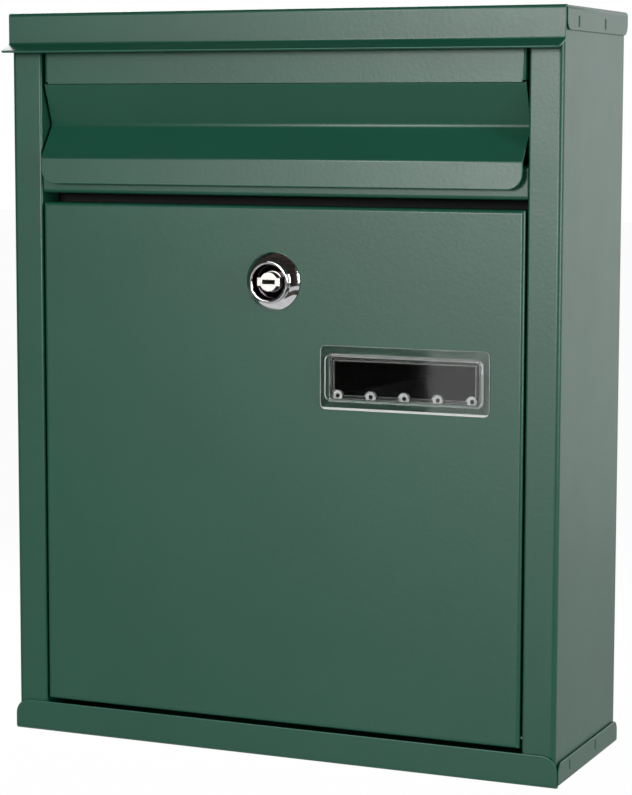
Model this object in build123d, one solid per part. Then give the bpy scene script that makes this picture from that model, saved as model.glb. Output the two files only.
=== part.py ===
from build123d import *
import os

# A wall mounted letter box of folded sheet steel, in millimetres.
# The front faces -Y, +X is the viewer's right and +Z is up. The origin lies on the rear face of the back panel,
# at the middle of the four wall holes and at half the height of the box.

# Box and sheet
box_height = 320.0
body_width = 253.8
body_depth = 84.5
sheet = 0.8
inner_bend = 0.8
body_corner_inside = 1.2
nest_gap = 0.1
tray_nest_gap = 0.3
seat_gap = 0.1
stile_width = 14.55
stile_bend = 1.0
stile_return = 15.0

# Wall holes in the back panel
wall_hole_span_x = 170.0
wall_hole_span_z = 230.0
wall_hole_dia = 6.0

# Skirts of the cap and the tray
side_skirt = 10.0
skirt_corner = 4.5
corner_slit = 1.0
cap_band = 13.6
lip_reach = 8.0
lip_drop = 3.1
lip_bend = 1.2
lip_corner = 2.0
tray_front = 13.5
tray_front_corner = 6.5
drain_dia = 5.0
drain_span = 150.0
crimp_height = 4.4
crimp_width = 2.4
crimp_ridge = 0.9
crimp_dent = 0.45
crimp_room = 0.2
crimp_from_plate = 6.3
first_crimp = 16.7
crimp_pitch = 36.0

# Posting flap, from its hinge down
flap_axis_drop = 17.0
flap_axis_back = 5.5
flap_top_rise = 4.0
flap_upper_band = 14.0
groove_upper_face = 17.5
groove_lower_face = 14.2
nose_band = 11.3
groove_depth = 6.5
crease_bend = 2.2
flap_recess = 0.5
nose_proud = 3.0
flap_side_gap = 1.3
flap_corner = 6.5
ear_relief = 0.6
ear_depth = 10.0
ear_corner = 3.0
rod_dia = 3.0
rod_overhang = 4.0
clip_dia = 9.0
clip_thick = 1.0
pivot_gap = 0.06

# Cross rail between the flap and the door
rail_show = 4.2
rail_set_back = 0.8
sill_below_nose = 1.5
sill_depth = 22.0
sill_fall = 2.0
stop_lip = 10.0
rivet_dia = 3.2
rivet_head_dia = 6.0
rivet_head = 1.0
rivet_tail_dia = 5.0
rivet_tail = 2.0
rivet_back = 7.0

# Door and its hinge
door_proud = 0.6
door_gap_top = 4.1
door_gap_side = 0.9
door_gap_bottom = 1.7
door_stop_gap = 0.4
hinge_rise = 4.0
hinge_back = 2.9
pin_dia = 2.4
pin_inside = 2.4
pin_head_dia = 3.2
pin_head = 1.3

# Cam lock
lock_below_door_top = 31.7
flange_dia = 24.6
flange_edge = 0.8
shoulder_rise = 2.4
neck_dia = 18.2
rim_proud = 6.2
rim_edge = 0.6
cup_dia = 15.0
cup_depth = 4.4
barrel_dia = 18.4
barrel_flats = 16.0
barrel_length = 17.0
plug_dia = 9.2
plug_boss_dia = 8.2
plug_bar_length = 10.6
plug_bar_height = 3.6
plug_head = 4.0
keyway_width = 5.8
keyway_height = 1.6
keyway_depth = 16.5
lock_hole_room = 0.25
washer_dia = 23.5
washer_thick = 0.7
nut_across_flats = 23.0
nut_thick = 4.0
wafer_count = 5
wafer_pitch = 1.9
wafer_thick = 0.6
wafer_half_length = 3.9
wafer_width = 4.4
wafer_gap = 0.08
first_wafer = 1.6
cam_length = 31.0
cam_width = 13.0
cam_thick = 1.8
cam_square = 6.0
cam_gap = 0.3
cam_clear = 0.5
cam_washer_dia = 11.0
cam_washer_thick = 1.0
screw_dia = 3.6
screw_length = 6.0
screw_head_dia = 8.5
screw_head = 2.6
driver_slot = 1.2

# Name window
window_centre_x = 59.5
window_below_lock = 39.7
rim_plate_width = 75.6
rim_plate_height = 27.2
rim_plate_thick = 0.9
rim_plate_corner = 2.5
pane_width = 70.6
pane_height = 20.0
pane_proud = 2.4
pane_corner = 3.0
pane_edge = 0.6
sleeve_width = 66.6
sleeve_height = 17.4
sleeve_depth = 3.6
sleeve_wall = 0.8
sleeve_ledge = 0.5
sleeve_corner = 1.2
cutout_room = 0.2
card_thick = 0.4
card_room = 0.15
card_back = 0.6
nib_count = 5
nib_pitch = 15.0
nib_radius = 2.2

# Places that follow from the sizes above, f being the distance in front of the stile face
top = box_height / 2
bottom = -top
bend = sheet + inner_bend
pan_rear = -(body_depth + nest_gap + sheet)
skirt_start = bend + corner_slit
opening_half = body_width / 2 - stile_width
flap_half = opening_half - flap_side_gap
flap_axis_f = -flap_recess - flap_axis_back
flap_axis_z = top - flap_axis_drop
fold_z = flap_axis_z - flap_upper_band
crease_z = fold_z - groove_upper_face
nose_z = crease_z - groove_lower_face
flap_edge_z = nose_z - nose_band
sill_z = nose_z - sill_below_nose
rail_z = flap_edge_z - rail_show
rail_half = opening_half - seat_gap
door_top = rail_z - door_gap_top
door_bottom = bottom + tray_front + door_gap_bottom
door_half = opening_half - door_gap_side
cam_front = -(barrel_length + cam_gap)
lip_front = door_proud + cam_front + cam_clear + sheet
door_depth = door_proud - lip_front - door_stop_gap
hinge_z = door_bottom + hinge_rise
lock_z = door_top - lock_below_door_top
cup_floor = rim_proud - cup_depth
head_seat = cup_floor + pivot_gap
plug_front = head_seat + plug_head
window_z = lock_z - window_below_lock
rivet_z = (rail_z + sill_z) / 2

# Views: side_view draws (f, z) outlines, front_view draws (x, z) outlines at a distance f
side_view = Plane(origin=(0, -body_depth, 0), x_dir=(0, -1, 0), z_dir=(-1, 0, 0))
front_view = Plane(origin=(0, -body_depth, 0), x_dir=(1, 0, 0), z_dir=(0, -1, 0))
lock_view = front_view * Pos(0, lock_z, door_proud)
window_view = front_view * Pos(window_centre_x, window_z, door_proud)
towards_viewer = (0, -1, 0)


def folded(points, bends, side):
    """A sheet's section: the line of one face, with its folds rounded, and the sheet on one side of it."""
    line = FilletPolyline(*points, radius=bends)
    return make_face(offset(line, amount=sheet, side=side).edges())


def folded_bar(points, bends, side, half_width):
    """A folded sheet with an (f, z) section, as wide as the box allows on both sides of its middle."""
    return extrude(side_view * folded(points, bends, side), amount=half_width, both=True)


def prism(outline, back, front):
    """An (x, z) outline carried from one distance in front of the stile face to another."""
    return extrude(front_view * Pos(0, 0, back) * outline, amount=front - back, dir=towards_viewer)


def cross_pin(dia, x_from, x_to, f, z):
    """A round bar along X at a place given as (f, z)."""
    middle = (x_from + x_to) / 2
    bar = Cylinder(dia / 2, abs(x_to - x_from), rotation=(0, 90, 0))
    return Pos(middle, -body_depth - f, z) * bar


def both_sides(shape):
    """The shape and its mirror image on the other side of the box."""
    return [shape, mirror(shape, about=Plane.YZ)]


def edges_at(shape, axis, f=None, z=None, x=None):
    """The edges along an axis whose middle lies at the given places."""
    wanted = []
    for edge in shape.edges().filter_by(axis):
        middle = edge.center()
        hits_f = f is None or abs(-body_depth - f - middle.Y) < seat_gap / 10
        hits_z = z is None or abs(z - middle.Z) < seat_gap / 10
        hits_x = x is None or abs(x - abs(middle.X)) < seat_gap / 10
        if hits_f and hits_z and hits_x:
            wanted.append(edge)
    return wanted


def crimp_spots(edge_z, up):
    """Middles of the crimps on the right hand skirt, two on each side of the box."""
    z = edge_z + up * crimp_from_plate
    return [(-body_depth + first_crimp + i * crimp_pitch, z) for i in range(2)]


def body_shell():
    """One sheet folded round the back, the sides, the stiles and their returns."""
    half = body_width / 2
    corner = sheet + body_corner_inside
    left = [
        (-opening_half, stile_return - body_depth),
        (-opening_half, -body_depth),
        (-half, -body_depth),
        (-half, 0),
    ]
    right = [(-x, y) for x, y in reversed(left)]
    section = folded(left + right, [stile_bend, corner, corner, corner, corner, stile_bend], Side.RIGHT)
    foot = bottom + bend
    head = top - bend
    shell = extrude(Pos(0, 0, foot) * section, amount=head - foot, dir=(0, 0, 1))
    for x in (-wall_hole_span_x / 2, wall_hole_span_x / 2):
        for z in (-wall_hole_span_z / 2, wall_hole_span_z / 2):
            shell -= Pos(x, 0, z) * Cylinder(wall_hole_dia / 2, 4 * sheet, rotation=(90, 0, 0))
    shell -= cross_pin(rod_dia + 2 * pivot_gap, -half + bend, half - bend, flap_axis_f, flap_axis_z)
    shell -= cross_pin(pin_dia + 2 * pivot_gap, -half + bend, half - bend, -hinge_back, hinge_z)
    shell -= cross_pin(rivet_dia + 2 * pivot_gap, -half + bend, half - bend, -rivet_back, rivet_z)
    slot = Box(4 * sheet, crimp_width + 2 * crimp_room, crimp_height + 2 * crimp_room)
    for y, z in crimp_spots(top, -1) + crimp_spots(bottom, 1):
        for hole in both_sides(Pos(half, y, z) * slot):
            shell -= hole
    return shell


def crimp(depth):
    """The double wedge that a pointed punch leaves, standing on end."""
    outline = Polygon((-depth, 0), (0, -crimp_width / 2), (depth, 0), (0, crimp_width / 2))
    return extrude(outline, amount=crimp_height / 2, both=True)


def skirted_pan(plate_z, up, gap, front):
    """A plate with its front folded on, and skirts folded to the sides and the rear, open at its corners."""
    fold_side = Side.LEFT if up > 0 else Side.RIGHT
    rear_side = Side.RIGHT if up > 0 else Side.LEFT
    half = body_width / 2 + gap + sheet
    skirt_z = plate_z + up * side_skirt
    skirt_front = gap + sheet - skirt_start
    rear_fold = pan_rear + skirt_start
    across = [(-half, skirt_z), (-half, plate_z), (half, plate_z), (half, skirt_z)]
    pan = prism(folded(across, [bend, bend], fold_side), pan_rear, skirt_front)
    for f in (pan_rear, skirt_front):
        pan = fillet(edges_at(pan, Axis.X, f=f, z=skirt_z), skirt_corner)
    pan -= prism(Pos(0, plate_z) * Rectangle(2 * (half - bend), 4 * sheet), pan_rear - sheet, rear_fold)
    rear_points = [(rear_fold, plate_z), (pan_rear, plate_z), (pan_rear, skirt_z)]
    rear = folded_bar(rear_points, [bend], rear_side, half - skirt_start)
    rear = fillet(edges_at(rear, Axis.Y, z=skirt_z), skirt_corner)
    pan += [front, rear]
    for y, z in crimp_spots(plate_z, up):
        for piece in both_sides(Pos(half - sheet, y, z) * crimp(crimp_ridge)):
            pan += piece
        for piece in both_sides(Pos(half, y, z) * crimp(crimp_dent)):
            pan -= piece
    return pan


def top_cap():
    """The cap: its front band runs out into a flared drip lip with rounded ends."""
    face = nest_gap + sheet
    band_z = top - cap_band
    points = [
        (face - skirt_start, top),
        (face, top),
        (face, band_z),
        (face + lip_reach, band_z - lip_drop),
    ]
    band = folded_bar(points, [bend, lip_bend], Side.RIGHT, body_width / 2 + face)
    tips = band.edges().filter_by(Axis.X, reverse=True).group_by(Axis.Y)[0]
    return skirted_pan(top, -1, nest_gap, fillet(tips, lip_corner))


def bottom_tray():
    """The tray: front skirt with rounded upper corners and two drain holes in the floor."""
    face = tray_nest_gap + sheet
    front_z = bottom + tray_front
    points = [(face - skirt_start, bottom), (face, bottom), (face, front_z)]
    front = folded_bar(points, [bend], Side.LEFT, body_width / 2 + face)
    front = fillet(edges_at(front, Axis.Y, z=front_z), tray_front_corner)
    tray = skirted_pan(bottom, 1, tray_nest_gap, front)
    for x in (-drain_span / 2, drain_span / 2):
        tray -= Pos(x, -body_depth / 2, bottom) * Cylinder(drain_dia / 2, 4 * sheet)
    return tray


def slot_rail():
    """The rail: sill, front face, step back over the door and stop lip, with a tab at each end."""
    points = [
        (-sill_depth, sill_z - sill_fall),
        (-rail_set_back, sill_z),
        (-rail_set_back, rail_z),
        (lip_front, rail_z),
        (lip_front, rail_z - stop_lip),
    ]
    rail = folded_bar(points, [bend, bend, inner_bend], Side.RIGHT, rail_half)
    tab_top = sill_z - bend - sill_fall
    tab_foot = rail_z + bend
    tab_front = -rail_set_back - sheet / 2
    tab_back = seat_gap - stile_return
    tab = Box(sheet, tab_front - tab_back, tab_top - tab_foot)
    tab = Pos(rail_half - sheet / 2, -body_depth - (tab_front + tab_back) / 2, (tab_top + tab_foot) / 2) * tab
    for piece in both_sides(tab):
        rail += piece
    return rail - cross_pin(rivet_dia + 2 * pivot_gap, -opening_half, opening_half, -rivet_back, rivet_z)


def rail_rivets():
    """A rivet on each side, through the rail's tab and the stile return."""
    head_face = rail_half - sheet
    tail_face = opening_half + sheet
    rivet = cross_pin(rivet_dia, head_face - rivet_head, tail_face + rivet_tail, -rivet_back, rivet_z)
    rivet += cross_pin(rivet_head_dia, head_face - rivet_head, head_face, -rivet_back, rivet_z)
    rivet += cross_pin(rivet_tail_dia, tail_face, tail_face + rivet_tail, -rivet_back, rivet_z)
    return both_sides(rivet)


def mail_flap():
    """The posting flap: upper band, V groove and nose band folded from one sheet, with two hinge ears."""
    flap_top = flap_axis_z + flap_top_rise
    points = [
        (-flap_recess, flap_top),
        (-flap_recess, fold_z),
        (-flap_recess - groove_depth, crease_z),
        (nose_proud, nose_z),
        (nose_proud, flap_edge_z),
    ]
    flap = folded_bar(points, [bend, crease_bend, bend], Side.RIGHT, flap_half)
    lower = flap.edges().filter_by(Axis.X, reverse=True).group_by(Axis.Z)[0]
    outer = [edge for edge in lower if abs(abs(edge.center().X) - flap_half) < seat_gap / 10]
    flap = fillet(outer, flap_corner)
    slit_z = fold_z + sheet / 2
    ear_foot = slit_z + ear_relief
    slit = Box(2 * (bend + seat_gap), 4 * bend, ear_relief)
    slit = Pos(flap_half, -body_depth + flap_recess, slit_z + ear_relief / 2) * slit
    ear = Box(sheet, ear_depth, flap_top - ear_foot)
    ear = Pos(flap_half - sheet / 2, -body_depth + flap_recess + ear_depth / 2, (flap_top + ear_foot) / 2) * ear
    ear = fillet(edges_at(ear, Axis.X, f=-flap_recess - ear_depth), ear_corner)
    for piece in both_sides(slit):
        flap -= piece
    for piece in both_sides(ear):
        flap += piece
    outside = edges_at(flap, Axis.Z, f=-flap_recess, x=flap_half)
    flap = fillet([edge for edge in outside if edge.center().Z > ear_foot], bend)
    flap = fillet(edges_at(flap, Axis.Z, f=-flap_recess - sheet, x=flap_half - sheet), inner_bend)
    return flap - cross_pin(rod_dia + 2 * pivot_gap, -flap_half, flap_half, flap_axis_f, flap_axis_z)


def flap_hinge_rod():
    """The rod through both stile returns and both ears."""
    end = opening_half + sheet + rod_overhang
    return cross_pin(rod_dia, -end, end, flap_axis_f, flap_axis_z)


def rod_clips():
    """Push-on clips that keep the rod from sliding out of the stile returns."""
    face = opening_half + sheet + seat_gap
    clip = cross_pin(clip_dia, face, face + clip_thick, flap_axis_f, flap_axis_z)
    clip -= cross_pin(rod_dia + pivot_gap, face - sheet, face + 2 * clip_thick, flap_axis_f, flap_axis_z)
    return both_sides(clip)


def lock_hole(room):
    """The lock's section, round with two flats, with room all round it."""
    return Circle(barrel_dia / 2 + room) & Rectangle(barrel_flats + 2 * room, barrel_dia + 2 * room)


def door_panel():
    """The door: a folded pan with closed corners, open at the back."""
    height = door_top - door_bottom
    block = Box(2 * door_half, height, door_depth)
    block = Pos(0, (door_top + door_bottom) / 2, door_proud - door_depth / 2) * block
    block = fillet(block.faces().sort_by(Axis.Z)[-1].edges(), bend)
    pan = offset(block, amount=-sheet, openings=block.faces().sort_by(Axis.Z)[0])
    door = front_view * pan
    back = door_proud - 2 * sheet
    door -= prism(Pos(0, lock_z) * lock_hole(lock_hole_room), back, sheet)
    cutout = RectangleRounded(
        sleeve_width + 2 * cutout_room, sleeve_height + 2 * cutout_room, sleeve_corner + cutout_room
    )
    door -= prism(Pos(window_centre_x, window_z) * cutout, back, sheet)
    return door - cross_pin(pin_dia + 2 * pivot_gap, -2 * door_half, 2 * door_half, -hinge_back, hinge_z)


def door_hinge_pins():
    """Two rivet pins in the stile returns, on which the door's side flanges turn."""
    tip = door_half - sheet - pin_inside
    face = opening_half + sheet
    pin = cross_pin(pin_dia, tip, face + pin_head, -hinge_back, hinge_z)
    pin += cross_pin(pin_head_dia, face + seat_gap, face + pin_head, -hinge_back, hinge_z)
    return both_sides(pin)


def lock_barrel():
    """The chromed bezel with its deep cup, and the flatted body behind the door, turned as one piece."""
    bore = plug_dia / 2 + pivot_gap
    neck = neck_dia / 2
    flange = flange_dia / 2
    cup = cup_dia / 2
    outline = Polyline(
        (bore, -barrel_length),
        (barrel_dia / 2, -barrel_length),
        (barrel_dia / 2, 0),
        (flange, 0),
        (flange, flange_edge),
        (neck, flange_edge + shoulder_rise),
        (neck, rim_proud - rim_edge),
        (neck - rim_edge, rim_proud),
        (cup + rim_edge, rim_proud),
        (cup, rim_proud - rim_edge),
        (cup, cup_floor),
        (bore, cup_floor),
        close=True,
    )
    section = Plane.XZ * make_face(outline)
    turned = revolve(section, axis=Axis.Z)
    waste = Circle(flange_dia) - Rectangle(barrel_flats, 2 * flange_dia)
    turned -= Pos(0, 0, -barrel_length) * extrude(waste, amount=barrel_length)
    return lock_view * turned


def lock_washer():
    """The washer between the door's back and the lock nut."""
    ring = Circle(washer_dia / 2) - Circle(barrel_dia / 2 + pivot_gap)
    return lock_view * Pos(0, 0, -sheet - washer_thick) * extrude(ring, amount=washer_thick)


def lock_nut():
    """The hexagon nut that clamps the lock in the door."""
    face = -sheet - washer_thick - nut_thick
    outline = RegularPolygon(nut_across_flats / 2, 6, major_radius=False) - Circle(barrel_dia / 2 + pivot_gap)
    return lock_view * Pos(0, 0, face) * extrude(outline, amount=nut_thick)


def wafer_backs():
    """Distances of the wafers' rear faces, one behind the other down the plug."""
    return [-first_wafer - i * wafer_pitch - wafer_thick for i in range(wafer_count)]


def lock_plug():
    """The turning core: winged head on the cup's floor, keyway, wafer slots, square tail and the screw's hole."""
    tail = cam_front - cam_thick + seat_gap
    body = Pos(0, 0, cam_front) * extrude(Circle(plug_dia / 2), amount=head_seat - cam_front)
    face = Circle(plug_boss_dia / 2) + Rectangle(plug_bar_length, plug_bar_height)
    head = Pos(0, 0, head_seat) * extrude(face, amount=plug_head)
    square = Pos(0, 0, tail) * extrude(Rectangle(cam_square, cam_square), amount=cam_front - tail)
    plug = body + head + square
    keyway = Rectangle(keyway_width, keyway_height)
    plug -= Pos(0, 0, plug_front - keyway_depth) * extrude(keyway, amount=keyway_depth)
    slot = Rectangle(plug_bar_length, wafer_width + 2 * wafer_gap)
    for back in wafer_backs():
        plug -= Pos(0, 0, back - wafer_gap) * extrude(slot, amount=wafer_thick + 2 * wafer_gap)
    hole = Circle(screw_dia / 2 + pivot_gap)
    plug -= Pos(0, 0, tail) * extrude(hole, amount=screw_length + cam_gap)
    return lock_view * plug


def lock_wafers():
    """Five wafers, drawn in as they are with the key turned."""
    outline = Rectangle(2 * wafer_half_length, wafer_width) - Rectangle(keyway_width, keyway_height)
    return [lock_view * Pos(0, 0, back) * extrude(outline, amount=wafer_thick) for back in wafer_backs()]


def lock_cam():
    """The flat cam on the plug's square tail, turned to the viewer's left when the door is free."""
    outline = SlotCenterToCenter(cam_length - cam_width / 2, cam_width)
    outline = Pos(-(cam_length - cam_width / 2) / 2, 0) * outline
    outline -= Rectangle(cam_square + 2 * seat_gap, cam_square + 2 * seat_gap)
    return lock_view * Pos(0, 0, cam_front - cam_thick) * extrude(outline, amount=cam_thick)


def cam_washer():
    """The washer under the cam screw's head."""
    ring = Circle(cam_washer_dia / 2) - Circle(screw_dia / 2 + pivot_gap)
    face = cam_front - cam_thick - cam_washer_thick
    return lock_view * Pos(0, 0, face) * extrude(ring, amount=cam_washer_thick)


def cam_screw():
    """The slotted screw that holds the cam on the plug."""
    seat = cam_front - cam_thick - cam_washer_thick
    head = Pos(0, 0, seat - screw_head) * extrude(Circle(screw_head_dia / 2), amount=screw_head)
    head = chamfer(head.edges().group_by(Axis.Z)[0], screw_head / 3)
    shank = Pos(0, 0, seat) * extrude(Circle(screw_dia / 2), amount=screw_length)
    slot = Pos(0, 0, seat - screw_head) * Box(screw_head_dia, driver_slot, screw_head)
    return lock_view * (head + shank - slot)


def name_window():
    """The clear moulding: rim plate, raised pane, sleeve through the door and nibs along its lower edge."""
    rim = extrude(RectangleRounded(rim_plate_width, rim_plate_height, rim_plate_corner), amount=rim_plate_thick)
    pane = extrude(RectangleRounded(pane_width, pane_height, pane_corner), amount=pane_proud)
    pane = chamfer(pane.faces().sort_by(Axis.Z)[-1].edges(), pane_edge)
    outer = RectangleRounded(sleeve_width, sleeve_height, sleeve_corner)
    mouth = Rectangle(sleeve_width - 2 * sleeve_wall, sleeve_height - 2 * sleeve_wall)
    throat = Rectangle(
        sleeve_width - 2 * (sleeve_wall + sleeve_ledge), sleeve_height - 2 * (sleeve_wall + sleeve_ledge)
    )
    seat = card_back + card_thick
    sleeve = Pos(0, 0, -sleeve_depth) * extrude(outer - mouth, amount=seat)
    sleeve += Pos(0, 0, seat - sleeve_depth) * extrude(outer - throat, amount=sleeve_depth - seat)
    window = rim + pane + sleeve
    nib_z = sleeve_wall + sleeve_ledge - sleeve_height / 2
    for i in range(nib_count):
        x = (i - (nib_count - 1) / 2) * nib_pitch
        nib = extrude(outer & Pos(x, nib_z) * Circle(nib_radius), amount=sleeve_depth - seat - card_room)
        window += Pos(0, 0, seat + card_room - sleeve_depth) * nib
    return window_view * window


def name_card():
    """The blank card, pushed into the sleeve from behind until it meets the ledge."""
    room = 2 * (sleeve_wall + card_room)
    outline = Rectangle(sleeve_width - room, sleeve_height - room)
    return window_view * Pos(0, 0, card_back - sleeve_depth) * extrude(outline, amount=card_thick)


nodes = {
    "body_shell": body_shell,
    "top_cap": top_cap,
    "bottom_tray": bottom_tray,
    "slot_rail": slot_rail,
    "rail_rivets": rail_rivets,
    "flap_hinge_rod": flap_hinge_rod,
    "rod_clips": rod_clips,
    "mail_flap": mail_flap,
    "door_hinge_pins": door_hinge_pins,
    "door_panel": door_panel,
    "lock_barrel": lock_barrel,
    "lock_washer": lock_washer,
    "lock_nut": lock_nut,
    "lock_plug": lock_plug,
    "lock_wafers": lock_wafers,
    "lock_cam": lock_cam,
    "cam_washer": cam_washer,
    "cam_screw": cam_screw,
    "name_window": name_window,
    "name_card": name_card,
}

os.makedirs("parts", exist_ok=True)
for name, make in nodes.items():
    shape = make()
    if isinstance(shape, list):
        shape = Compound(children=shape)
    export_step(shape, f"parts/{name}.step")
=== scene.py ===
import math

import bmesh
import bpy
from mathutils import Matrix, Vector
from mathutils.bvhtree import BVHTree


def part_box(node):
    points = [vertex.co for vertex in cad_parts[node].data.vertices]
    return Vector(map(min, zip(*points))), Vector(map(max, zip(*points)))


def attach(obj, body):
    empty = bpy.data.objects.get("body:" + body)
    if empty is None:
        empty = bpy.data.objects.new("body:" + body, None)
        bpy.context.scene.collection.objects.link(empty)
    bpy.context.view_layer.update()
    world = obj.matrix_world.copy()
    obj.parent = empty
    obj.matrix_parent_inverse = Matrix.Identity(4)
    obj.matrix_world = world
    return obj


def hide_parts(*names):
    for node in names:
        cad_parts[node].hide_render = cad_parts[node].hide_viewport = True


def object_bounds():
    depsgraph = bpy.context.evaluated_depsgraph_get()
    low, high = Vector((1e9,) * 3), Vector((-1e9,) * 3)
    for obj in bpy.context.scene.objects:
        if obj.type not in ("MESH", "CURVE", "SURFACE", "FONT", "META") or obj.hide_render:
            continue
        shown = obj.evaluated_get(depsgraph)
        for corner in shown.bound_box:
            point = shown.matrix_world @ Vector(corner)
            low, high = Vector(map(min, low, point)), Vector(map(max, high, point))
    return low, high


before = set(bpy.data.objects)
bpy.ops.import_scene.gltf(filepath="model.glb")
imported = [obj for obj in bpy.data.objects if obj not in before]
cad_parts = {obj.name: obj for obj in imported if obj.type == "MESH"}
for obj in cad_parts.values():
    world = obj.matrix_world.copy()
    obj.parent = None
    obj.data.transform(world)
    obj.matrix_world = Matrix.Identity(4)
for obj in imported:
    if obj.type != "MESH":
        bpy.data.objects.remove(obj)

cad_box = [list(corner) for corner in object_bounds()]

# Body: one steel sheet folded round the back, the sides, the two front stiles and their returns.
# It is powder coated after folding, in a deep satin green, and the coat rounds each cut edge.
coat_ease = 0.00036
coat_green = (0.0044, 0.0570, 0.0330, 1.0)
coat_green_thick = (0.0038, 0.0515, 0.0297, 1.0)
coat_green_thin_and_highlight = (0.0090, 0.0760, 0.0500, 1.0)
painted_shade_black = (0.0030, 0.0035, 0.0035, 1.0)
weld_distance = 1e-6
flat_angle = math.radians(0.3)
sharp_angle = math.radians(28)
stray_share = 0.4


def eased_copy(node, ease, steps=2):
    """A piece with its triangles joined into whole faces and its sharp edges rounded."""
    shape = bmesh.new()
    shape.from_mesh(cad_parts[node].data)
    on_edge = shape.faces.layers.float.new("on_edge")
    bmesh.ops.remove_doubles(shape, verts=shape.verts, dist=weld_distance)
    bmesh.ops.dissolve_limit(shape, angle_limit=flat_angle, verts=shape.verts, edges=shape.edges)
    solid = BVHTree.FromBMesh(shape)
    sharp = [edge for edge in shape.edges if edge.is_manifold and edge.calc_face_angle() > sharp_angle]
    rounded = bmesh.ops.bevel(
        shape, geom=sharp, offset=ease, offset_type="OFFSET", segments=steps, profile=0.5,
        affect="EDGES", clamp_overlap=False, material=-1,
    )
    for face in rounded["faces"]:
        face[on_edge] = 1.0
    low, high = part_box(node)
    for corner in shape.verts:
        spot, _, _, gap = solid.find_nearest(corner.co)
        if gap > stray_share * ease:
            corner.co = spot
        corner.co = [min(max(value, least), most) for value, least, most in zip(corner.co, low, high)]
    return shape


def fit_piece(shape, name, node, body, finish):
    """Makes an object of the shape, which rides on its body and stands for its solid."""
    mesh = bpy.data.meshes.new(name)
    shape.to_mesh(mesh)
    shape.free()
    mesh.materials.append(finish)
    piece = bpy.data.objects.new(name, mesh)
    bpy.context.collection.objects.link(piece)
    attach(piece, body)
    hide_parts(node)
    return piece


def fit_eased(node, name, body, finish, ease, steps=2):
    """Fits a piece that has its solid's shape with rounded edges."""
    fit_piece(eased_copy(node, ease, steps), name, node, body, finish)


def new_finish(name):
    """A material with its shader and the place on the piece that its patterns read."""
    finish = bpy.data.materials.new(name)
    finish.use_nodes = True
    tree = finish.node_tree
    place = tree.nodes.new("ShaderNodeTexCoord").outputs["Object"]
    return finish, tree, tree.nodes["Principled BSDF"], place


def add_attribute(tree, name):
    """A value that the piece's faces carry, or 0 where they carry none."""
    reader = tree.nodes.new("ShaderNodeAttribute")
    reader.attribute_name = name
    return reader.outputs["Fac"]


def add_noise(tree, place, scale, detail=2.0):
    """Noise with features about 1 / scale metres wide."""
    noise = tree.nodes.new("ShaderNodeTexNoise")
    noise.inputs["Scale"].default_value = scale
    noise.inputs["Detail"].default_value = detail
    tree.links.new(place, noise.inputs["Vector"])
    return noise.outputs["Fac"]


def add_range(tree, value, low=0.0, high=1.0):
    """The middle of a noise spread over a range of values."""
    spread = tree.nodes.new("ShaderNodeMapRange")
    spread.inputs["From Min"].default_value = 0.3
    spread.inputs["From Max"].default_value = 0.7
    spread.inputs["To Min"].default_value = low
    spread.inputs["To Max"].default_value = high
    tree.links.new(value, spread.inputs["Value"])
    return spread.outputs["Result"]


def add_mix(tree, share, first, second):
    """A colour between two, either of which may come from another node."""
    mix = tree.nodes.new("ShaderNodeMix")
    mix.data_type = "RGBA"
    tree.links.new(share, mix.inputs["Factor"])
    for socket, colour in ((mix.inputs["A"], first), (mix.inputs["B"], second)):
        if isinstance(colour, tuple):
            socket.default_value = colour
        else:
            tree.links.new(colour, socket)
    return mix.outputs["Result"]


def add_bump(tree, height, strength, depth, under=None):
    """A bump of that depth in metres, on top of another one."""
    bump = tree.nodes.new("ShaderNodeBump")
    bump.inputs["Strength"].default_value = strength
    bump.inputs["Distance"].default_value = depth
    tree.links.new(height, bump.inputs["Height"])
    if under is not None:
        tree.links.new(under, bump.inputs["Normal"])
    return bump.outputs["Normal"]


def add_larger(tree, first, second):
    """The larger of two values."""
    larger = tree.nodes.new("ShaderNodeMath")
    larger.operation = "MAXIMUM"
    tree.links.new(first, larger.inputs[0])
    tree.links.new(second, larger.inputs[1])
    return larger.outputs["Value"]


def powder_coat():
    """Satin powder coat: cloudy in thickness, with orange peel and a fine grain; its rounded edges are
    lighter, as a thinner coat and a painted highlight, and the rail's fold is painted shade, near black and
    matt.
    """
    finish, tree, shader, place = new_finish("green_powder_coat")
    cloud = add_range(tree, add_noise(tree, place, scale=14.0, detail=4.0))
    colour = add_mix(tree, cloud, coat_green, coat_green_thick)
    # Rounded edges get a lighter green: partly a thinner coat, partly a painted highlight.
    colour = add_mix(tree, add_attribute(tree, "on_edge"), colour, coat_green_thin_and_highlight)
    # The rail's fold is painted near black and matt, as shade.
    fold_shade = add_attribute(tree, "fold_painted_shade")
    tree.links.new(add_mix(tree, fold_shade, colour, painted_shade_black), shader.inputs["Base Color"])
    satin = add_range(tree, add_noise(tree, place, scale=60.0), low=0.375, high=0.395)
    tree.links.new(add_larger(tree, satin, fold_shade), shader.inputs["Roughness"])
    peel = add_bump(tree, add_noise(tree, place, scale=640.0), strength=0.65, depth=0.00005)
    grain = add_bump(tree, add_noise(tree, place, scale=2600.0), strength=0.12, depth=0.00002, under=peel)
    tree.links.new(grain, shader.inputs["Normal"])
    shader.inputs["IOR"].default_value = 1.5
    return finish


green_coat = powder_coat()
fit_eased("body_shell", "cabinet_sheet", "cabinet", green_coat, coat_ease)

# Cap: a folded pan over the top of the body, with a flared drip lip along its front band.
# It is coated like the body, slipped over it and crimped through its side skirts. Its cut edges stay crisper.
cap_ease = 0.0002
fit_eased("top_cap", "cap_sheet", "cabinet", green_coat, cap_ease)

# Tray: the shallow folded pan under the body, crimped to it in the same way as the cap.
# Its front skirt has rounded upper corners, and two holes in its floor let water out.
fit_eased("bottom_tray", "tray_sheet", "cabinet", green_coat, coat_ease)
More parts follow.
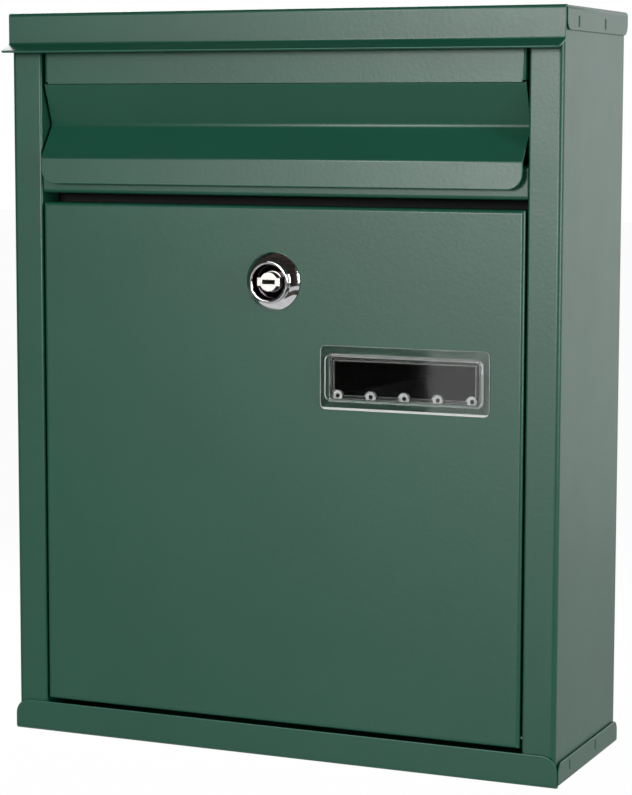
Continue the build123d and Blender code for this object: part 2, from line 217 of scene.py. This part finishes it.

# Rail: a folded strip across the front between the flap and the door, coated like the body.
# It makes the sill of the slot and, with its lip, the stop that the lock's cam catches.
# The faces in the fold behind the door's top edge are painted near black and matt, as shade in the gap.
rail_shape = eased_copy("slot_rail", coat_ease)
rail_low, rail_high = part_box("slot_rail")
fold_depth = 0.0020
fold_painted_shade = rail_shape.faces.layers.float.new("fold_painted_shade")
# Faces deep in the fold get painted shade.
for face in rail_shape.faces:
    middle = face.calc_center_median()
    if middle.y > rail_low.y + fold_depth and middle.z < rail_high.z - fold_depth:
        face[fold_painted_shade] = 1.0
fit_piece(rail_shape, "rail_sheet", "slot_rail", "cabinet", green_coat)

# Rivets: two zinc plated steel rivets that hold the rail's tabs to the stile returns.
# Each is a shank with a low head on the inside and a set tail behind the return.
zinc_pale = (0.60, 0.61, 0.63, 1.0)
zinc_clouded = (0.50, 0.50, 0.48, 1.0)
pin_painted_shade_black = (0.020, 0.022, 0.022, 1.0)
rivet_ease = 0.0004


def zinc_plate():
    """Bright zinc: pale and bluish, cloudy, with fine tumbling marks, and near black and matt where shade is
    painted on the left door pin.
    """
    finish, tree, shader, place = new_finish("zinc_plated_steel")
    cloud = add_range(tree, add_noise(tree, place, scale=420.0, detail=3.0))
    colour = add_mix(tree, cloud, zinc_pale, zinc_clouded)
    pin_shade = add_attribute(tree, "left_pin_painted_shade")
    tree.links.new(add_mix(tree, pin_shade, colour, pin_painted_shade_black), shader.inputs["Base Color"])
    satin = add_range(tree, add_noise(tree, place, scale=900.0), low=0.24, high=0.40)
    tree.links.new(add_larger(tree, satin, pin_shade), shader.inputs["Roughness"])
    marks = add_bump(tree, add_noise(tree, place, scale=3000.0), strength=0.15, depth=0.00002)
    tree.links.new(marks, shader.inputs["Normal"])
    shader.inputs["Metallic"].default_value = 1.0
    return finish


zinc = zinc_plate()
fit_eased("rail_rivets", "rail_fixing_rivets", "cabinet", zinc, rivet_ease, steps=3)

# Rod and clips: the steel rod that the flap turns on runs through both stile returns.
# A push-on clip on each end keeps it from sliding out. All three are zinc plated.
rod_ease = 0.0004
clip_ease = 0.0002
fit_eased("flap_hinge_rod", "flap_rod", "cabinet", zinc, rod_ease, steps=3)
fit_eased("rod_clips", "rod_end_clips", "cabinet", zinc, clip_ease)

# Flap: one sheet with an upper band, a V groove for the fingers and a nose band, and an ear at each end.
# It is coated like the body and hangs on the rod by its ears.
# The nose band leans out a little towards its lower edge.
flap_shape = eased_copy("mail_flap", coat_ease)
nose_height = 0.0108
nose_lean = math.tan(math.radians(3.0))
nose_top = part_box("mail_flap")[0].z + nose_height
for corner in flap_shape.verts:
    corner.co.y -= nose_lean * max(0.0, nose_top - corner.co.z)
fit_piece(flap_shape, "flap_sheet", "mail_flap", "flap", green_coat)

# Door pins: two plated rivet pins set in the stile returns near the foot of the door.
# The door's side flanges turn on them. The left pin is painted near black and matt as shade, and the right
# one shines in the gap.
pin_ease = 0.0002
pins_shape = eased_copy("door_hinge_pins", pin_ease)
left_pin_painted_shade = pins_shape.faces.layers.float.new("left_pin_painted_shade")
# Faces of the left pin get painted shade.
for face in pins_shape.faces:
    if face.calc_center_median().x < 0.0:
        face[left_pin_painted_shade] = 1.0
fit_piece(pins_shape, "door_pins", "door_hinge_pins", "cabinet", zinc)

# Door: a folded pan with closed corners, coated like the body, open at the back.
# It has a flatted hole for the lock and a cut-out for the name window's sleeve.
fit_eased("door_panel", "door_sheet", "door", green_coat, coat_ease)

# Lock barrel: a zinc casting, turned and chromed, with a domed bezel in front and a flatted, threaded body.
# It goes through the door from the front and is clamped by its nut.
chrome_bright = (0.76, 0.76, 0.78, 1.0)
chrome_smeared = (0.66, 0.66, 0.68, 1.0)
cup_painted_shade = (0.030, 0.026, 0.030, 1.0)
door_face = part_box("door_panel")[0].y
barrel_low, barrel_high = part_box("lock_barrel")
lock_centre = Vector(((barrel_low.x + barrel_high.x) / 2, door_face, (barrel_low.z + barrel_high.z) / 2))
flange_radius = (barrel_high.x - barrel_low.x) / 2
bezel_proud = door_face - barrel_low.y
barrel_length = barrel_high.y - door_face
flange_edge = 0.0008
flange_bulge = 0.0003
neck_radius = 0.0091
neck_foot = 0.0032
rim_height = 0.0006
cup_radius = 0.0075
cup_floor = 0.0018
cup_round = 0.0009
plug_bore = 0.00466
barrel_radius = 0.0092
barrel_flat = 0.0080
thread_root = 0.0086
thread_pitch = 0.0010
curve_steps = 10
turn_steps = 96


def chrome_plate():
    """Chrome over a casting: nearly a mirror, with faint smears and pits, and near black in the cup, which is
    painted shade.
    """
    finish, tree, shader, place = new_finish("lock_chrome")
    cloud = add_range(tree, add_noise(tree, place, scale=260.0, detail=3.0))
    colour = add_mix(tree, cloud, chrome_bright, chrome_smeared)
    colour = add_mix(tree, add_attribute(tree, "in_cup"), colour, cup_painted_shade)
    tree.links.new(colour, shader.inputs["Base Color"])
    polish = add_range(tree, add_noise(tree, place, scale=500.0), low=0.05, high=0.13)
    tree.links.new(polish, shader.inputs["Roughness"])
    pits = add_bump(tree, add_noise(tree, place, scale=1400.0), strength=0.05, depth=0.00002)
    tree.links.new(pits, shader.inputs["Normal"])
    shader.inputs["Metallic"].default_value = 1.0
    return finish


def turned(profile):
    """A piece turned on the lock's axis from (radius, distance in front of the door) points."""
    shape = bmesh.new()
    ring = [shape.verts.new(lock_centre + Vector((radius, -front, 0.0))) for radius, front in profile]
    edges = [shape.edges.new(pair) for pair in zip(ring, ring[1:] + ring[:1])]
    bmesh.ops.spin(
        shape, geom=ring + edges, cent=lock_centre, axis=(0.0, 1.0, 0.0), angle=math.tau, steps=turn_steps,
        use_merge=True,
    )
    bmesh.ops.remove_doubles(shape, verts=shape.verts, dist=weld_distance)
    bmesh.ops.recalc_face_normals(shape, faces=shape.faces)
    return shape


thread_profile = [(plug_bore, -barrel_length), (thread_root, -barrel_length)]
thread_turns = int((barrel_length - thread_pitch) / thread_pitch)
for turn in range(thread_turns):
    start = -barrel_length + turn * thread_pitch
    thread_profile += [(barrel_radius, start + 0.5 * thread_pitch), (thread_root, start + thread_pitch)]
thread_profile += [(thread_root, flange_edge / 2), (plug_bore, flange_edge / 2)]
threaded = turned(thread_profile)
for side in (-1.0, 1.0):
    bmesh.ops.bisect_plane(
        threaded, geom=threaded.verts[:] + threaded.edges[:] + threaded.faces[:], clear_outer=True,
        plane_co=lock_centre + Vector((side * barrel_flat, 0.0, 0.0)), plane_no=(side, 0.0, 0.0),
    )
    bmesh.ops.holes_fill(threaded, edges=[edge for edge in threaded.edges if edge.is_boundary])
rear_body = bpy.data.meshes.new("lock_rear_body")
threaded.to_mesh(rear_body)
threaded.free()

bezel_profile = [(plug_bore, 0.0), (flange_radius, 0.0)]
for step in range(curve_steps + 1):
    share = step / curve_steps
    radius = flange_radius + share * (neck_radius - flange_radius)
    front = flange_edge + share * (neck_foot - flange_edge) + flange_bulge * math.sin(math.pi * share)
    bezel_profile.append((radius, front))
rim_middle = (neck_radius + cup_radius) / 2
for step in range(curve_steps + 1):
    angle = math.pi * step / curve_steps
    radius = rim_middle + (neck_radius - rim_middle) * math.cos(angle)
    bezel_profile.append((radius, bezel_proud - rim_height + rim_height * math.sin(angle)))
for step in range(curve_steps + 1):
    angle = math.pi / 2 * step / curve_steps
    radius = cup_radius - cup_round + cup_round * math.cos(angle)
    bezel_profile.append((radius, cup_floor + cup_round - cup_round * math.sin(angle)))
bezel_profile.append((plug_bore, cup_floor))
bezel = turned(bezel_profile)
bezel.from_mesh(rear_body)
# Faces inside the cup get painted shade, near black.
in_cup = bezel.faces.layers.float.new("in_cup")
for face in bezel.faces:
    face.smooth = True
    across = face.calc_center_median() - lock_centre
    if -across.y > cup_floor / 2 and math.hypot(across.x, across.z) < cup_radius:
        face[in_cup] = 1.0
bezel_piece = fit_piece(bezel, "lock_bezel", "lock_barrel", "door", chrome_plate())
bezel_piece.data.set_sharp_from_angle(angle=sharp_angle)

# Washer and nut: zinc plated steel, on the barrel's threaded body behind the door.
# The nut clamps the barrel against the sheet, with the washer under it.
lock_washer_ease = 0.0001
nut_ease = 0.0004
fit_eased("lock_washer", "lock_seat_washer", "door", zinc, lock_washer_ease)
fit_eased("lock_nut", "lock_hex_nut", "door", zinc, nut_ease)

# Plug: the turning core, a nickel plated casting with a keyway across its face.
# Five brass wafers slide in slots across it, and its square tail carries the cam.
nickel_pale = (0.64, 0.63, 0.60, 1.0)
nickel_clouded = (0.54, 0.53, 0.50, 1.0)
brass_pale = (0.62, 0.45, 0.19, 1.0)
brass_worn = (0.45, 0.31, 0.12, 1.0)
plug_ease = 0.00025
wafer_ease = 0.00005


def nickel_plate():
    """Satin nickel, a little warmer than chrome."""
    finish, tree, shader, place = new_finish("plug_nickel")
    cloud = add_range(tree, add_noise(tree, place, scale=700.0, detail=3.0))
    tree.links.new(add_mix(tree, cloud, nickel_pale, nickel_clouded), shader.inputs["Base Color"])
    satin = add_range(tree, add_noise(tree, place, scale=900.0), low=0.34, high=0.44)
    tree.links.new(satin, shader.inputs["Roughness"])
    marks = add_bump(tree, add_noise(tree, place, scale=2500.0), strength=0.08, depth=0.00002)
    tree.links.new(marks, shader.inputs["Normal"])
    shader.inputs["Metallic"].default_value = 1.0
    return finish


def wafer_metal():
    """Stamped brass with a dull, worn face."""
    finish, tree, shader, place = new_finish("wafer_brass")
    cloud = add_range(tree, add_noise(tree, place, scale=900.0, detail=3.0))
    tree.links.new(add_mix(tree, cloud, brass_pale, brass_worn), shader.inputs["Base Color"])
    wear = add_range(tree, add_noise(tree, place, scale=1500.0), low=0.25, high=0.45)
    tree.links.new(wear, shader.inputs["Roughness"])
    shader.inputs["Metallic"].default_value = 1.0
    return finish


fit_eased("lock_plug", "plug_core", "lock_core", nickel_plate(), plug_ease, steps=3)
fit_eased("lock_wafers", "plug_wafers", "lock_core", wafer_metal(), wafer_ease)

# Cam: a flat plated steel arm on the plug's square tail, with its washer and slotted screw.
# Turned upwards it stands behind the rail's lip and keeps the door shut.
cam_ease = 0.0003
cam_washer_ease = 0.00015
screw_ease = 0.0002
fit_eased("lock_cam", "cam_arm", "lock_core", zinc, cam_ease)
fit_eased("cam_washer", "cam_seat_washer", "lock_core", zinc, cam_washer_ease)
fit_eased("cam_screw", "cam_fixing_screw", "lock_core", zinc, screw_ease)

# Name window: a clear moulding with a thin rim on the door's face and a sleeve through the door's cut-out.
# Its pane is raised, its edges and its sleeve are a little frosted by the mould, and five white rings stand
# in a row along the card's lower edge. The pane's left and right ends and the rim's lower band are frosted
# whiter, as painted highlight.
plastic_clear = (0.96, 0.985, 0.975, 1.0)
plastic_frost_and_highlight = (0.93, 0.94, 0.93, 1.0)
window_ease = 0.00025
rim_film = 0.00005
rim_edge = 0.0010
small_face = 0.000005
facing_share = 0.5
edge_frost = 0.15
left_end_highlight = 0.9
right_end_highlight = 0.22
sleeve_frost = 0.4
lower_edge_highlight = 0.4
ring_count = 5
ring_pitch = 0.0150
ring_radius = 0.0016
ring_wire = 0.0007
ring_drop = 0.0076


def clear_plastic():
    """Clear moulded plastic, polished on its faces, hazy where frosted or where a highlight is painted on its
    edges, and white on its rings.
    """
    finish, tree, shader, place = new_finish("clear_plastic")
    frost_and_highlight = add_attribute(tree, "on_edge")
    tree.links.new(add_mix(tree, frost_and_highlight, plastic_clear, plastic_frost_and_highlight), shader.inputs["Base Color"])
    for socket, polished, rough in (("Roughness", 0.03, 0.20), ("Transmission Weight", 1.0, 0.0)):
        spread = tree.nodes.new("ShaderNodeMapRange")
        spread.inputs["To Min"].default_value = polished
        spread.inputs["To Max"].default_value = rough
        tree.links.new(frost_and_highlight, spread.inputs["Value"])
        tree.links.new(spread.outputs["Result"], shader.inputs[socket])
    ripple = add_bump(tree, add_noise(tree, place, scale=120.0), strength=0.05, depth=0.0001)
    tree.links.new(ripple, shader.inputs["Normal"])
    shader.inputs["IOR"].default_value = 1.49
    return finish


window_low, window_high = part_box("name_window")
moulding = eased_copy("name_window", window_ease, steps=3)
frost_and_highlight_share = moulding.faces.layers.float["on_edge"]
for corner in moulding.verts:
    if abs(corner.co.y - door_face) < weld_distance:
        corner.co.y -= rim_film
bmesh.ops.bisect_plane(
    moulding, geom=moulding.verts[:] + moulding.edges[:] + moulding.faces[:], dist=weld_distance,
    plane_co=(0.0, 0.0, window_low.z + rim_edge), plane_no=(0.0, 0.0, 1.0),
)
for face in moulding.faces:
    face.smooth = face.calc_area() < small_face
    face[frost_and_highlight_share] *= edge_frost
    middle = face.calc_center_median()
    # The pane's left and right ends are frosted whiter by side, as painted highlight.
    if middle.y < door_face and abs(face.normal.x) > facing_share:
        face[frost_and_highlight_share] = right_end_highlight if face.normal.x > 0.0 else left_end_highlight
    if middle.y > door_face + rim_film and abs(face.normal.y) < facing_share:
        face[frost_and_highlight_share] = sleeve_frost
    # The rim's lower band is frosted whiter, as painted highlight.
    if middle.z < window_low.z + rim_edge:
        face[frost_and_highlight_share] = lower_edge_highlight
moulded = set(moulding.faces)
for place_in_row in range(ring_count):
    along = (place_in_row - (ring_count - 1) / 2) * ring_pitch
    middle = (window_low + window_high) / 2 + Vector((along, 0.0, -ring_drop))
    middle.y = door_face + 2 * ring_wire
    wire = bmesh.ops.create_circle(
        moulding, cap_ends=False, segments=10, radius=ring_wire,
        matrix=Matrix.Translation(middle + Vector((ring_radius, 0.0, 0.0))),
    )["verts"]
    loop = list({edge for corner in wire for edge in corner.link_edges})
    bmesh.ops.spin(
        moulding, geom=wire + loop, cent=middle, axis=(0.0, 1.0, 0.0), angle=math.tau, steps=20,
        use_merge=True,
    )
rings = [face for face in moulding.faces if face not in moulded]
bmesh.ops.recalc_face_normals(moulding, faces=rings)
for face in rings:
    face[frost_and_highlight_share] = 1.0
    face.smooth = True
fit_piece(moulding, "window_moulding", "name_window", "door", clear_plastic())

# Card: a blank slip of matt black card behind the window's pane.
# It is pushed into the window's sleeve from behind.
card_black = (0.0030, 0.0030, 0.0035, 1.0)
card_fibre = (0.0060, 0.0060, 0.0065, 1.0)
card_ease = 0.00005


def black_card():
    """Matt black card with a fibrous face."""
    finish, tree, shader, place = new_finish("dark_card")
    fibre = add_range(tree, add_noise(tree, place, scale=1500.0, detail=4.0))
    tree.links.new(add_mix(tree, fibre, card_black, card_fibre), shader.inputs["Base Color"])
    nap = add_bump(tree, add_noise(tree, place, scale=2500.0), strength=0.2, depth=0.00003)
    tree.links.new(nap, shader.inputs["Normal"])
    shader.inputs["Roughness"].default_value = 0.9
    shader.inputs["Specular IOR Level"].default_value = 0.05
    return finish


fit_eased("name_card", "blank_card", "door", black_card(), card_ease)

# Stage: a plain pale floor below the box, white for the camera, and the dark end of the studio round the
# front and above. The dark end shows only in reflections, as an unlit room does behind a camera.
floor_drop = 0.42
floor_size = 30.0
floor_grey = (0.62, 0.62, 0.62, 1.0)
floor_white_share = 0.96
floor_mirrored = 0.7
studio_black = (0.004, 0.003, 0.003, 1.0)
studio_brown = (0.060, 0.040, 0.030, 1.0)
wall_foot_radius = 2.3
wall_radius = 2.8
wall_height = 1.3
ceiling_radius = 2.2
ceiling_height = 2.3
ring_inside = 0.75
ring_outside = 1.30
dark_sweep = math.radians(220.0)


def stage_object(shape, name, finish):
    """Makes an object of the shape, as a part of the stage."""
    mesh = bpy.data.meshes.new(name)
    shape.to_mesh(mesh)
    shape.free()
    mesh.materials.append(finish)
    made = bpy.data.objects.new(name, mesh)
    bpy.context.collection.objects.link(made)
    return made


def white_to_camera(tree):
    """The share of a ray that sees the plain white: rays from the camera, and those by mirrors and glass."""
    path = tree.nodes.new("ShaderNodeLightPath")
    mirrored = add_larger(tree, path.outputs["Is Glossy Ray"], path.outputs["Is Transmission Ray"])
    return add_larger(tree, path.outputs["Is Camera Ray"], mirrored)


def floor_finish():
    """A matt pale floor, which the camera sees nearly white and mirrors see a little greyer."""
    finish, tree, shader, _ = new_finish("pale_floor")
    shader.inputs["Base Color"].default_value = floor_grey
    shader.inputs["Roughness"].default_value = 0.9
    glow = tree.nodes.new("ShaderNodeEmission")
    path = tree.nodes.new("ShaderNodeLightPath")
    seen = tree.nodes.new("ShaderNodeMapRange")
    seen.inputs["To Min"].default_value = floor_mirrored
    tree.links.new(path.outputs["Is Camera Ray"], seen.inputs["Value"])
    tree.links.new(seen.outputs["Result"], glow.inputs["Strength"])
    mix = tree.nodes.new("ShaderNodeMixShader")
    dim = tree.nodes.new("ShaderNodeMath")
    dim.operation = "MULTIPLY"
    dim.inputs[1].default_value = floor_white_share
    tree.links.new(white_to_camera(tree), dim.inputs[0])
    tree.links.new(dim.outputs["Value"], mix.inputs["Fac"])
    tree.links.new(shader.outputs["BSDF"], mix.inputs[1])
    tree.links.new(glow.outputs["Emission"], mix.inputs[2])
    tree.links.new(mix.outputs["Shader"], tree.nodes["Material Output"].inputs["Surface"])
    return finish


def dark_finish():
    """The unlit studio: nearly black, with a little brown clutter."""
    finish, tree, shader, place = new_finish("dark_studio")
    clutter = add_range(tree, add_noise(tree, place, scale=2.4, detail=4.0))
    tree.links.new(add_mix(tree, clutter, studio_black, studio_brown), shader.inputs["Base Color"])
    shader.inputs["Roughness"].default_value = 1.0
    return finish


def mirror_only(made):
    """Leaves an object in reflections alone."""
    made.visible_camera = False
    made.visible_diffuse = False
    made.visible_shadow = False


floor_shape = bmesh.new()
floor_place = Matrix.Translation((0.0, 0.0, cad_box[0][2] - floor_drop))
bmesh.ops.create_grid(floor_shape, x_segments=1, y_segments=1, size=floor_size / 2, matrix=floor_place)
stage_object(floor_shape, "floor", floor_finish())

studio_dark = dark_finish()
dark_floor = cad_box[0][2] - 0.9 * floor_drop
dark_ring = ((ring_inside, dark_floor), (ring_outside, dark_floor))
dark_wall = (
    (wall_foot_radius, dark_floor), (wall_radius, dark_floor),
    (wall_radius, wall_height), (ceiling_radius, ceiling_height),
)
first_angle = -math.pi / 2 - dark_sweep / 2
surround_shape = bmesh.new()
for outline in (dark_ring, dark_wall):
    start = [
        surround_shape.verts.new((radius * math.cos(first_angle), radius * math.sin(first_angle), height))
        for radius, height in outline
    ]
    links = [surround_shape.edges.new(pair) for pair in zip(start, start[1:])]
    bmesh.ops.spin(
        surround_shape, geom=start + links, cent=(0.0, 0.0, 0.0), axis=(0.0, 0.0, 1.0), angle=dark_sweep,
        steps=40, use_merge=False,
    )
mirror_only(stage_object(surround_shape, "dark_surround", studio_dark))
ceiling_shape = bmesh.new()
ceiling_place = Matrix.Translation((0.0, 0.0, ceiling_height))
bmesh.ops.create_circle(
    ceiling_shape, cap_ends=True, segments=48, radius=ceiling_radius, matrix=ceiling_place,
)
mirror_only(stage_object(ceiling_shape, "dark_ceiling", studio_dark))

# Light: an even white room and a large soft panel at the front left with a brighter lamp in it. A strip
# above and one on the right draw light lines along the folds, a soft panel behind on the right shines along
# the side, and a lamp behind on the left lights the back.
room_strength = 0.28
white_strength = 1.0
box_middle = (0.0, -0.05, 0.0)
world = bpy.data.worlds.new("studio")
bpy.context.scene.world = world
world.use_nodes = True
sky = world.node_tree
room = sky.nodes["Background"]
room.inputs["Color"].default_value = (1.0, 1.0, 1.0, 1.0)
room.inputs["Strength"].default_value = room_strength
white = sky.nodes.new("ShaderNodeBackground")
white.inputs["Color"].default_value = (1.0, 1.0, 1.0, 1.0)
white.inputs["Strength"].default_value = white_strength
either = sky.nodes.new("ShaderNodeMixShader")
sky.links.new(white_to_camera(sky), either.inputs["Fac"])
sky.links.new(room.outputs["Background"], either.inputs[1])
sky.links.new(white.outputs["Background"], either.inputs[2])
sky.links.new(either.outputs["Shader"], sky.nodes["World Output"].inputs["Surface"])


def soft_box(name, place, width, height, radiance):
    """A rectangular lamp that shines from a place towards the middle of the box."""
    lamp = bpy.data.lights.new(name, "AREA")
    lamp.shape = "RECTANGLE"
    lamp.size = width
    lamp.size_y = height
    lamp.energy = radiance * math.pi * width * height
    made = bpy.data.objects.new(name, lamp)
    made.location = place
    made.rotation_euler = (Vector(box_middle) - Vector(place)).to_track_quat("-Z", "Y").to_euler()
    made.visible_camera = False
    bpy.context.collection.objects.link(made)


soft_box("front_panel", (-0.31, -2.45, 0.20), width=1.03, height=1.40, radiance=0.9)
soft_box("front_lamp", (-0.33, -2.30, 0.43), width=0.6, height=0.5, radiance=34.0)
soft_box("upper_strip", (-0.55, -2.20, 0.95), width=1.0, height=0.7, radiance=3.2)
soft_box("right_strip", (2.05, -0.65, 0.45), width=0.5, height=1.2, radiance=18.0)
soft_box("rear_panel", (1.00, 2.20, 0.38), width=1.6, height=1.7, radiance=0.66)
soft_box("rear_lamp", (-1.30, 2.20, 0.90), width=1.5, height=1.5, radiance=7.0)

# Camera: to the right of the box and a little above its middle, with a long lens.
# Its place and its turn are fitted to the box's edges in the photo.
camera_place = (0.43262, -1.03040, 0.11495)
camera_turn = math.radians(23.605)
camera_down = math.radians(6.50)
camera_roll = math.radians(0.11)
camera_lens = 111.34
camera_sensor = 36.0
camera = bpy.data.cameras.new("camera")
camera.sensor_width = camera_sensor
camera.lens = camera_lens
viewer = bpy.data.objects.new("camera", camera)
viewer.location = camera_place
level = Matrix.Rotation(camera_turn, 3, "Z") @ Matrix.Rotation(math.radians(90.0) - camera_down, 3, "X")
viewer.rotation_euler = (level @ Matrix.Rotation(camera_roll, 3, "Z")).to_euler()
bpy.context.collection.objects.link(viewer)
bpy.context.scene.camera = viewer
bpy.context.scene.view_settings.view_transform = "Standard"
